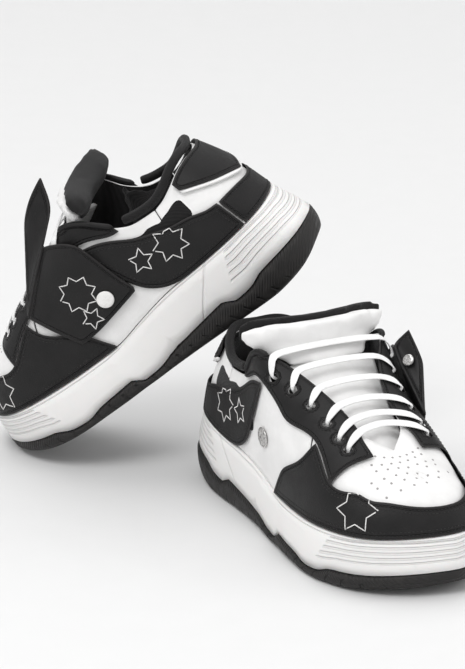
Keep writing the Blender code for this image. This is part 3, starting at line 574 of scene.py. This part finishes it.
dot_tree, given, out = start_tree("punched_dots", {"Radius": 0.00085, "Height": 0.00025})
ring = add(dot_tree, "GeometryNodeMeshCylinder", {"Radius": given.outputs["Radius"], "Depth": given.outputs["Height"]},
           {"Vertices": 10})
sideways = add(dot_tree, "FunctionNodeInputVector", vector=(1.0, 0.0, 0.0))
set_on_points(dot_tree, given, out, given.outputs["Geometry"], sideways.outputs[0], ring.outputs[0])


def run_tree(tree, mesh, **inputs):
    """The plain mesh that a tree makes from a mesh of points and lines."""
    work = bpy.data.objects.new("work", mesh)
    scene.collection.objects.link(work)
    maker = work.modifiers.new("maker", "NODES")
    maker.node_group = tree
    for item in tree.interface.items_tree:
        if item.in_out == "INPUT" and item.name in inputs:
            maker[item.identifier] = inputs[item.name]
    graph = bpy.context.evaluated_depsgraph_get()
    made = bpy.data.meshes.new_from_object(work.evaluated_get(graph))
    bpy.data.objects.remove(work)
    return made


def path_mesh(paths):
    """A mesh of open lines, with an up direction on every point. A path is a list of (place, up)."""
    mesh = bpy.data.meshes.new("paths")
    spots = [spot for path in paths for spot, _ in path]
    ups = [up for path in paths for _, up in path]
    edges = []
    first = 0
    for path in paths:
        edges += [(first + i, first + i + 1) for i in range(len(path) - 1)]
        first += len(path)
    mesh.from_pydata([tuple(s) for s in spots], edges, [])
    layer = mesh.attributes.new("up", "FLOAT_VECTOR", "POINT")
    layer.data.foreach_set("vector", np.array(ups, np.float32).ravel())
    return mesh


def seam_paths(chains, spots, ups, inner, surface, finder, inset):
    """Rows that run inside each rim, laid back on the panel and cut where they would bunch up."""
    paths = []
    for chain in chains:
        path = []
        count = len(chain)
        for i, number in enumerate(chain):
            spot = spots[number]
            forward = (spots[chain[(i + 1) % count]] - spots[chain[i - 1]]).normalized()
            inward = ups[number].cross(forward)
            if inward.dot(inner[number] - spot) < 0:
                inward = -inward
            hit, normal, _, _ = surface.find_nearest(spot + inward * inset)
            if finder.find(hit)[2] < 0.86 * inset:
                continue
            if path and (path[-1][0] - hit).length > 14 * MM:
                if len(path) > 3:
                    paths.append(path)
                path = []
            path.append((hit + normal * 0.12 * MM, normal.copy()))
        if len(path) > 3:
            if (path[0][0] - path[-1][0]).length < 10 * MM and (path[0][0] - path[-1][0]).length > 0.1 * MM:
                path.append(path[0])
            paths.append(path)
    return paths


print("stitch trees ready")

# %% [markdown]
# ## Putting a finished piece on a shoe
# Each mesh is copied to its shoe, turned right side out if it was mirrored, given its material and told which part
# of the shoe it moves with and which measured nodes it stands for.
# %% Placing helper
made_pieces = []


def put_on(shoe, word, mesh, material, slot, body, *nodes, backing=None):
    """A copy of a mesh as a piece of one shoe. A backing material goes on the faces marked as its back."""
    copy = mesh.copy()
    copy.transform(PLACES[shoe])
    if PLACES[shoe].determinant() < 0:
        copy.flip_normals()
    copy.materials.clear()
    copy.materials.append(material)
    marks = np.zeros(len(mesh.polygons), np.int32)
    if backing:
        copy.materials.append(backing)
        mesh.polygons.foreach_get("material_index", marks)
        marks = (marks == 2).astype(np.int32)
    copy.polygons.foreach_set("material_index", marks)
    copy.polygons.foreach_set("use_smooth", np.ones(len(copy.polygons), bool))
    copy.update()
    piece = bpy.data.objects.new(f"{shoe}_{word}_finished", copy)
    scene.collection.objects.link(piece)
    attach(piece, body)
    if nodes:
        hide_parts(*[f"{shoe}_{node}" for node in nodes])
    made_pieces.append(piece)
    return piece


def put_on_both(word, mesh, material, slot, body, *nodes, backing=None):
    """The same mesh on both shoes. A body other than the pair is each shoe's own."""
    return [put_on(shoe, word, mesh, material, slot, body if body == "pair" else f"{shoe}_{body}", *nodes,
                   backing=backing) for shoe in PLACES]


# %% [markdown]
# ## Leather panels
# Each panel of the upper is smoothed, told how far every point is from its cut edge, and sewn with one row of
# stitches, or two where the real panel is double stitched. Panels that lie under others need no stitches.
# %% Dress the panels
WHITE, BLACK = (white_leather, "white_leather"), (black_leather, "black_leather")
PANELS = {
    "vamp": (WHITE, 0), "side_panel_outer": (WHITE, 0),
    "side_panel_inner": (WHITE, 0), "collar_band": (WHITE, 0),
    "eyestay_outer": (BLACK, 1), "eyestay_inner": (BLACK, 1),
    "quarter_outer": (BLACK, 2), "quarter_inner": (BLACK, 2),
    "toe_guard": (BLACK, 2), "heel_counter": (BLACK, 1),
    "heel_tab": (BLACK, 1), "heel_piping": (WHITE, 0),
    "tongue": (WHITE, 0),
}
LINED = {"side_panel_outer": black_lining, "side_panel_inner": black_lining,
         "collar_band": black_lining}
EYESTAY_LEVELS = 1
FIRST_ROW, ROW_GAP = 2.3, 2.4
surfaces = {}


def dress(shape, rows, levels=2, crease=0.75, both=False):
    """A smoothed panel with its attributes, and the mesh of its stitch rows."""
    sort_faces(shape, both)
    mesh = smooth_skin(shape, levels, crease)
    chains, spots, ups, inner, surface = rim_of(mesh)
    finder, distance = seam_distance(mesh, chains, spots)
    write_number(mesh, "seam", distance if rows else np.full(len(mesh.vertices), NO_SEAM))
    write_place(mesh)
    paths = []
    for row in range(rows):
        paths += seam_paths(chains, spots, ups, inner, surface, finder, (FIRST_ROW + ROW_GAP * row) * MM)
    return mesh, paths, surface


all_rows = []
for word, ((material, slot), rows) in PANELS.items():
    levels = EYESTAY_LEVELS if word.startswith("eyestay") else 2
    mesh, paths, surface = dress(pattern("right", word), rows, levels)
    surfaces[word] = surface
    all_rows += paths
    put_on_both(word, mesh, material, slot, "pair", word, backing=LINED.get(word))
thread = run_tree(stitch_tree, path_mesh(all_rows), Material=black_thread)
write_place(thread)
put_on_both("panel_stitches", thread, black_thread, "black_leather", "pair")
print("panels", len(PANELS), "stitch rows", len(all_rows), "stitch faces", len(thread.polygons))

# %% [markdown]
# ## The sole
# The outsole and the midsole are moulded, so their edges are only slightly rounded. The midsole also carries how
# far up its wall and how far along the shoe each point is, which its ribs follow.
# %% Dress the soles


def sole_mesh(word, levels, crease):
    mesh = smooth_skin(all_shown(pattern("right", word)), levels, crease, SOLE_SHARP)
    write_place(mesh)
    co = points_of(mesh)
    x = co[:, 0]
    along = (x - x.min()) / (x.max() - x.min())
    bins = np.linspace(0, 1, 25)
    low = np.array([co[np.abs(along - b) < 0.035, 2].min() for b in bins])
    high = np.array([co[np.abs(along - b) < 0.035, 2].max() for b in bins])
    floor_z = np.interp(along, bins, low)
    top_z = np.interp(along, bins, high)
    write_number(mesh, "along", along)
    write_number(mesh, "up_wall", (co[:, 2] - floor_z) / (top_z - floor_z))
    return mesh


for word, material, slot, crease in (("outsole", black_rubber, "black_rubber", 0.97),
                                     ("midsole", white_foam, "white_foam", 0.85),
                                     ("lasting_board", fibre_board, "fibre_board", 0.9),
                                     ("footbed", black_lining, "black_lining", 0.7)):
    mesh = sole_mesh(word, 2, crease)
    put_on_both(word, mesh, material, slot, "pair", word)
    print(word, len(mesh.polygons), "faces")

# %% [markdown]
# ## Padded pieces
# The tongue's head, its lining and the collar lining are cloth sewn over foam. They are puffed up with a cloth
# simulation: the plain solid is remeshed evenly, air pressure swells it for twenty frames with gravity off, and the
# movement is capped so that each pad stays near its measured space. One subdivision smooths the result.
# %% Puff up the pads


def drape_lip(mesh):
    """Draws the pad's lower front edge down over the tongue, as soft padding sags towards the first lace."""
    co = points_of(mesh)
    low = np.clip((0.137 - co[:, 2]) / 0.010, 0, 1)
    front = np.clip((co[:, 0] - 0.112) / 0.008, 0, 1)
    middle = np.clip((0.041 - np.abs(co[:, 1])) / 0.012, 0, 1)
    pull = low * low * (3 - 2 * low) * front * middle
    co[:, 0] += 0.0095 * pull
    co[:, 2] -= 0.0050 * pull
    mesh.vertices.foreach_set("co", co.ravel())
    mesh.update()


def puff(word, voxel, pressure, cap):
    """A swollen copy of a pad in the shoe's own frame."""
    shape = pattern("right", word)
    mesh = bpy.data.meshes.new("pad")
    shape.to_mesh(mesh)
    shape.free()
    pad = bpy.data.objects.new("pad", mesh)
    scene.collection.objects.link(pad)
    even = pad.modifiers.new("even", "REMESH")
    even.mode = "VOXEL"
    even.voxel_size = voxel
    graph = bpy.context.evaluated_depsgraph_get()
    pad.data = bpy.data.meshes.new_from_object(pad.evaluated_get(graph))
    pad.modifiers.clear()
    rest = points_of(pad.data)
    air = pad.modifiers.new("air", "CLOTH")
    air.settings.quality = 6
    air.settings.use_pressure = True
    air.settings.uniform_pressure_force = pressure
    air.settings.effector_weights.gravity = 0
    air.settings.tension_stiffness = 20
    air.settings.bending_stiffness = 0.6
    for number in range(1, 21):
        scene.frame_set(number)
    graph = bpy.context.evaluated_depsgraph_get()
    swollen = points_of(pad.evaluated_get(graph).to_mesh())
    pad.modifiers.clear()
    scene.frame_set(1)
    move = swollen - rest
    move -= move.mean(0)
    length = np.linalg.norm(move, axis=1, keepdims=True)
    move *= cap * np.tanh(length / cap) / np.maximum(length, 1e-9)
    pad.data.vertices.foreach_set("co", (rest + move).ravel())
    pad.data.update()
    print(word, "moved up to", round(float(np.abs(move).max()) / MM, 2), "mm")
    shape = bmesh.new()
    shape.from_mesh(pad.data)
    bpy.data.objects.remove(pad)
    made = smooth_skin(all_shown(shape), 1, 0.0)
    if word == "tongue_top":
        drape_lip(made)
    write_place(made)
    return made


for word, material, slot, body, pressure, cap, fill in (
        ("tongue_top", white_leather, "white_leather", "tongue_head", 3.0, 0.0022, 0.7),
        ("tongue_lining", black_lining, "black_lining", "tongue_head", 4.0, 0.0035, 0.8),
        ("collar_lining", black_lining, "black_lining", "pair", 4.0, 0.0022, 0.8)):
    mesh = puff(word, 0.004 if word == "tongue_top" else 0.0035, pressure, cap)
    write_number(mesh, "seam", np.full(len(mesh.vertices), NO_SEAM))
    for pad in put_on_both(word, mesh, material, slot, body, word):
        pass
    print(word, len(mesh.polygons), "faces")

# %% [markdown]
# ## Binding and lace
# The binding is a folded tape round the top edge. The lace is one flat woven tape: its measured route is already
# whole, so it only needs to be rounded and given its weave.
# %% Dress the binding and the lace
for word, material, slot in (("collar_binding", black_binding, "black_lining"), ("lace", white_lace, "white_lace")):
    mesh = smooth_skin(all_shown(pattern("right", word)), 2, 0.25)
    write_place(mesh)
    put_on_both(word, mesh, material, slot, "pair", word)
    print(word, len(mesh.polygons), "faces")

# %% [markdown]
# ## Snaps
# A snap stud on each side of the shoe holds the strap. The shown studs are stamped with a small flower of petals,
# so each is lathed again with its rim rippled. The cap is a plain domed button.
# %% Make the snaps
AROUND, PETALS = 64, 8


def rosette(shape_word):
    """A domed metal button with a ring of petals, on the place of a measured stud."""
    shape = pattern("right", shape_word)
    co = np.array([v.co[:] for v in shape.verts])
    centre = co.mean(0)
    spread = np.linalg.svd(co - centre)[2]
    axis = spread[2] * math.copysign(1.0, spread[2][1] * centre[1])
    side = spread[0] - axis * np.dot(spread[0], axis)
    side /= np.linalg.norm(side)
    other = np.cross(axis, side)
    reach = np.linalg.norm(co - centre, axis=1).max()
    top = ((co - centre) @ axis).max()
    shape.free()
    made = bmesh.new()
    rings = ((0.98, -1.0, 0.0), (1.0, 0.2, 0.0), (0.93, 0.9, 0.0), (0.84, 0.75, 0.0), (0.74, 0.9, 0.35),
             (0.55, 1.3, 0.5), (0.38, 0.9, 0.3), (0.30, 0.8, 0.0), (0.24, 1.3, 0.0), (0.12, 1.55, 0.0))
    loops = []
    for radius, height, ripple in rings:
        loop = []
        for i in range(AROUND):
            angle = 2 * math.pi * i / AROUND
            rise = height + ripple * math.cos(PETALS * angle)
            spot = centre + reach * radius * (side * math.cos(angle) + other * math.sin(angle)) + axis * top * rise
            loop.append(made.verts.new(spot))
        loops.append(loop)
    for low, high in zip(loops, loops[1:]):
        for i in range(AROUND):
            after = (i + 1) % AROUND
            made.faces.new((low[i], low[after], high[after], high[i]))
    made.faces.new(loops[-1])
    made.faces.new(loops[0][::-1])
    return built_mesh(made, shape_word)


for word in ("snap_stud_outer", "snap_stud_inner"):
    mesh = rosette(word)
    put_on_both(word, mesh, silver_metal, "silver_metal", "pair", word)
for shoe in PLACES:
    for word, material, slot, body in (("snap_cap", white_enamel, "white_leather", "strap"),
                                       ("snap_socket", silver_metal, "silver_metal", "strap_end")):
        mesh = smooth_skin(all_shown(pattern(shoe, word)), 2, 0.35)
        write_place(mesh)
        put_on(shoe, word, mesh, material, slot, f"{shoe}_{body}", word)
print("snaps ready")

# %% [markdown]
# ## The straps
# Each strap is one piece of stitched leather: its base is snapped to the side and its end stands free past a fold.
# Base and end are separate pieces, because they move on different joints, and they meet at the fold.
# %% Dress the straps
for shoe in PLACES:
    for word, body, both in (("strap_base", "strap", False), ("strap_wing", "strap_end", True)):
        mesh, paths, surface = dress(pattern(shoe, word), 1, 2, 0.75, both)
        surfaces[f"{shoe}_{word}"] = surface
        put_on(shoe, word, mesh, black_leather, "black_leather", f"{shoe}_{body}", word)
        if paths:
            thread = run_tree(stitch_tree, path_mesh(paths), Material=black_thread)
            write_place(thread)
            put_on(shoe, word + "_stitches", thread, black_thread, "black_leather", f"{shoe}_{body}")
print("straps ready")

# %% [markdown]
# ## Rolled edges
# The front corner of the collar is finished with a padded roll of black leather, and each strap bends over a
# rounded fold. Both are tubes swept along a line taken from the finished panels: the top edge of the eyelet panel,
# and the line midway between a strap's base and its end.
# %% Roll the edges
SIDES = 12


def rolled_edge(path, radius):
    """A round tube along points, tapering to closed ends."""
    shape = bmesh.new()
    count = len(path)
    rings = []
    for i, spot in enumerate(path):
        forward = (path[min(i + 1, count - 1)] - path[max(i - 1, 0)]).normalized()
        aside = forward.cross(Vector((0.31, 0.17, 0.93))).normalized()
        over = forward.cross(aside)
        end = min(i, count - 1 - i)
        size = radius * min(1.0, math.sqrt((end + 0.15) / 2.0))
        rings.append([shape.verts.new(spot + (aside * math.cos(a) + over * math.sin(a)) * size)
                      for a in (2 * math.pi * k / SIDES for k in range(SIDES))])
    for low, high in zip(rings, rings[1:]):
        for k in range(SIDES):
            shape.faces.new((low[k], low[(k + 1) % SIDES], high[(k + 1) % SIDES], high[k]))
    shape.faces.new(rings[0][::-1])
    shape.faces.new(rings[-1])
    mesh = built_mesh(shape, "roll")
    write_number(mesh, "seam", np.full(len(mesh.vertices), NO_SEAM))
    return mesh


def even_path(spots, step):
    """A smoothed line through spots, with points a step apart."""
    co = np.array([s[:] for s in spots])
    for _ in range(3):
        co[1:-1] = (co[:-2] + 2 * co[1:-1] + co[2:]) / 4
    run = np.concatenate([[0], np.cumsum(np.linalg.norm(np.diff(co, axis=0), axis=1))])
    at = np.linspace(0, run[-1], max(6, int(run[-1] / step)))
    return [Vector([np.interp(t, run, co[:, k]) for k in range(3)]) for t in at]


for word in ("eyestay_outer", "eyestay_inner"):
    shape = pattern("right", word)
    sort_faces(shape)
    chains, spots, ups, inner, surface = rim_of(smooth_skin(shape, 1, 0.75))
    rim = [spots[number] for chain in chains for number in chain if spots[number].x < 0.131]
    top = [a for a in rim if not any(abs(a.x - b.x) < 2.5 * MM and b.z > a.z + 2.0 * MM for b in rim)]
    top.sort(key=lambda spot: spot.x)
    mesh = rolled_edge(even_path([spot + Vector((0, 0, 0.4 * MM)) for spot in top], 1.6 * MM), 2.1 * MM)
    put_on_both(word + "_roll", mesh, black_leather, "black_leather", "pair")
    print(word, "roll points", len(top))

for shoe in PLACES:
    base, wing = pattern(shoe, "strap_base"), pattern(shoe, "strap_wing")
    finder = KDTree(len(base.verts))
    for i, vert in enumerate(base.verts):
        finder.insert(vert.co, i)
    finder.balance()
    joints = []
    for vert in wing.verts:
        near, _, distance = finder.find(vert.co)
        if distance < 4.5 * MM:
            joints.append((vert.co + near) / 2)
    axis = max((a - b for a in joints for b in joints), key=lambda gap: gap.length).normalized()
    joints.sort(key=lambda spot: spot.dot(axis))
    middles = [(a + b) / 2 for a, b in zip(joints[::2], joints[1::2])]
    mesh = rolled_edge(even_path(middles, 1.6 * MM), 1.3 * MM)
    put_on(shoe, "strap_fold_roll", mesh, black_leather, "black_leather", f"{shoe}_strap")
    base.free()
    wing.free()
    print(shoe, "fold points", len(joints))

# %% [markdown]
# ## Punched holes on the toe
# The toe box breathes through a fan of small punched holes. Their places follow a simple rule, rows that spread
# towards the toe, and a ray dropped on the toe box finds each one's height and slope. Each hole is drawn as a thin
# grey disc on the leather, whose grey is painted shade standing in for the hole's shadowed inside.
# %% Punch the toe box
dots = []
for row in range(6):
    for column in range(-3, 4):
        x = (228 + 5.4 * row - 0.5 * column * column) * MM
        y = (column + 0.5 * (row % 2)) * (5.6 + 0.9 * row) * MM
        if row == 5 and abs(column) == 3:
            continue
        hit, normal, _, _ = surfaces["vamp"].ray_cast(Vector((x, y, 0.2)), Vector((0, 0, -1)))
        if hit is not None:
            dots.append([(hit + normal * 0.02 * MM, normal.copy())])
holes = run_tree(dot_tree, path_mesh(dots), Material=painted_hole_shade)
write_place(holes)
put_on_both("toe_holes", holes, painted_hole_shade, "white_leather", "pair")
print("holes", len(dots))

# %% [markdown]
# ## Line drawings on the leather
# Thin white outlines decorate the quarter, the strap and the toe guard. Here they are plain star bursts: a flat
# outline is drawn on a small board beside the panel and pressed onto it along the board's normal, and a narrow
# raised ribbon follows it.
# %% Draw the outlines


def burst(points, inner, spin=0.0):
    """A closed star outline with the given number of points."""
    return [((1.0 if i % 2 == 0 else inner) * math.cos(spin + math.pi * i / points),
             (1.0 if i % 2 == 0 else inner) * math.sin(spin + math.pi * i / points)) for i in range(2 * points + 1)]


def press(surface, middle, across, upward, outline, size):
    """A flat outline pressed onto a surface, as a path with up directions."""
    middle, across = Vector(middle) * MM, Vector(across).normalized()
    upward = (Vector(upward) - across * Vector(upward).dot(across)).normalized()
    normal = across.cross(upward)
    if normal.dot(Vector((0, middle.y, 0.02))) < 0:
        normal = -normal
    path = []
    for (ax, ay), (bx, by) in zip(outline, outline[1:]):
        steps = max(2, int(math.hypot(bx - ax, by - ay) * size / 1.5))
        for i in range(steps):
            u, v = ax + (bx - ax) * i / steps, ay + (by - ay) * i / steps
            spot = middle + (across * u + upward * v) * size * MM + normal * 0.03
            hit, up, _, _ = surface.ray_cast(spot, -normal, 0.08)
            if hit is not None:
                path.append((hit, up.copy()))
    return path


def ribbon(paths, width, lift):
    """Narrow raised tapes along paths."""
    shape = bmesh.new()
    for path in paths:
        rows = []
        for i, (spot, up) in enumerate(path):
            forward = path[min(i + 1, len(path) - 1)][0] - path[max(i - 1, 0)][0]
            if forward.length < 1e-7:
                continue
            aside = up.cross(forward.normalized()).normalized() * width / 2
            rows.append([shape.verts.new(spot + aside - up * lift), shape.verts.new(spot + aside + up * lift),
                         shape.verts.new(spot - aside + up * lift), shape.verts.new(spot - aside - up * lift)])
        for a, b in zip(rows, rows[1:]):
            if (a[0].co - b[0].co).length > 8 * MM:
                continue
            for k in range(4):
                shape.faces.new((a[k], b[k], b[(k + 1) % 4], a[(k + 1) % 4]))
    return built_mesh(shape, "ribbon")


LINE, RAISE = 0.75 * MM, 0.14 * MM
art = []
for word, side in (("quarter_outer", 1), ("quarter_inner", -1)):
    art.append(press(surfaces[word], (66, side * 44, 78), (1, 0, 0), (0, 0, 1), burst(7, 0.62, 0.2), 14.0))
    art.append(press(surfaces[word], (91, side * 44, 80), (1, 0, 0), (0, 0, 1), burst(5, 0.5, 0.7), 9.5))
art.append(press(surfaces["toe_guard"], (244, 42, 58), (0.85, -0.5, 0), (0, 0, 1), burst(6, 0.6, 0.1), 15.0))
art.append(press(surfaces["toe_guard"], (240, -40, 56), (0.85, 0.5, 0), (0, 0, 1), burst(5, 0.55, 0.5), 10.0))
mesh = ribbon([path for path in art if len(path) > 3], LINE, RAISE)
put_on_both("outline_art", mesh, white_line, "white_leather", "pair")
print("art paths", [len(path) for path in art])

for shoe, side in (("left", 1), ("right", -1)):
    surface = surfaces[f"{shoe}_strap_base"]
    paths = [press(surface, (143, side * 50, 88), (1, 0, 0), (0, 0, 1), burst(8, 0.7, 0.2), 14.5),
             press(surface, (146, side * 50, 67), (1, 0, 0), (0, 0, 1), burst(5, 0.5, 0.1), 8.5)]
    mesh = ribbon([path for path in paths if len(path) > 3], LINE, RAISE)
    put_on(shoe, "strap_art", mesh, white_line, "white_leather", f"{shoe}_strap")
    print(shoe, "strap art", [len(path) for path in paths])

# %% [markdown]
# ## Floor and light
# A pale seamless sweep carries the shoes, lit like a product studio: a broad soft key from the upper left, a wide
# fill from the right and an even pale surround.
# %% Stage
FRONT, BEND_START, BEND, WALL_TOP, HALF_WIDTH = -9.0, 5.2, 1.2, 5.0, 9.0
FLAT_SHARE, STEPS = 0.6, 24
floor_mesh = bpy.data.meshes.new("sweep")
rows = []
for i in range(STEPS + 1):
    t = i / STEPS
    if t <= FLAT_SHARE:
        rows.append((FRONT + (BEND_START - FRONT) * min(t / FLAT_SHARE, 1.0), 0.0))
    else:
        angle = (t - FLAT_SHARE) / (1 - FLAT_SHARE) * math.pi / 2
        rows.append((BEND_START + BEND * math.sin(angle), BEND - BEND * math.cos(angle)))
rows.append((BEND_START + BEND, WALL_TOP))
spots = [(x, y, z) for y, z in rows for x in (-HALF_WIDTH, HALF_WIDTH)]
floor_mesh.from_pydata(spots, [], [(2 * i, 2 * i + 1, 2 * i + 3, 2 * i + 2) for i in range(len(rows) - 1)])
paper, tree, shader = start_material("backdrop_paper", Specular_IOR_Level=0.15)
fibre = add(tree, "ShaderNodeTexNoise", {"Vector": add(tree, "ShaderNodeTexCoord").outputs["Object"]},
            {"Scale": 40.0, "Detail": 4.0})
tint(tree, shader, fibre.outputs["Fac"], (0.765, 0.765, 0.765), (0.785, 0.785, 0.785))
polish(tree, shader, fibre.outputs["Fac"], 0.7, 0.8)
floor_mesh.materials.append(paper)
floor = bpy.data.objects.new("sweep", floor_mesh)
scene.collection.objects.link(floor)
floor.location.z = -0.0004
floor.rotation_euler.z = AZIMUTH
for polygon in floor_mesh.polygons:
    polygon.use_smooth = True
floor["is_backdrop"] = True


def soft_light(name, place, aim, size, power):
    lamp = bpy.data.objects.new(name, bpy.data.lights.new(name, "AREA"))
    lamp.data.size = size
    lamp.data.energy = power
    lamp.location = place
    lamp.rotation_euler = (Vector(place) - Vector(aim)).to_track_quat("Z", "Y").to_euler()
    scene.collection.objects.link(lamp)


soft_light("key", (-2.3, -1.4, 3.6), (-0.05, 0.05, 0.1), 1.9, 88.0)
soft_light("fill", (3.6, -2.6, 2.6), (0.0, 0.0, 0.1), 3.0, 38.0)
soft_light("top", (0.5, 1.8, 4.6), (0.0, 0.4, 0.1), 3.6, 62.0)
world = bpy.data.worlds.new("studio")
scene.world = world
world.use_nodes = True
world.node_tree.nodes["Background"].inputs[0].default_value = (1, 1, 1, 1)
world.node_tree.nodes["Background"].inputs[1].default_value = 0.66
scene.view_settings.view_transform = "Standard"
print("stage ready")

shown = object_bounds()
grown = [round(max(CAD_BOX[0][i] - shown[0][i], shown[1][i] - CAD_BOX[1][i]) / MM, 2) for i in range(3)]
print("grown past the measured box, mm:", grown, "pieces", len(made_pieces))
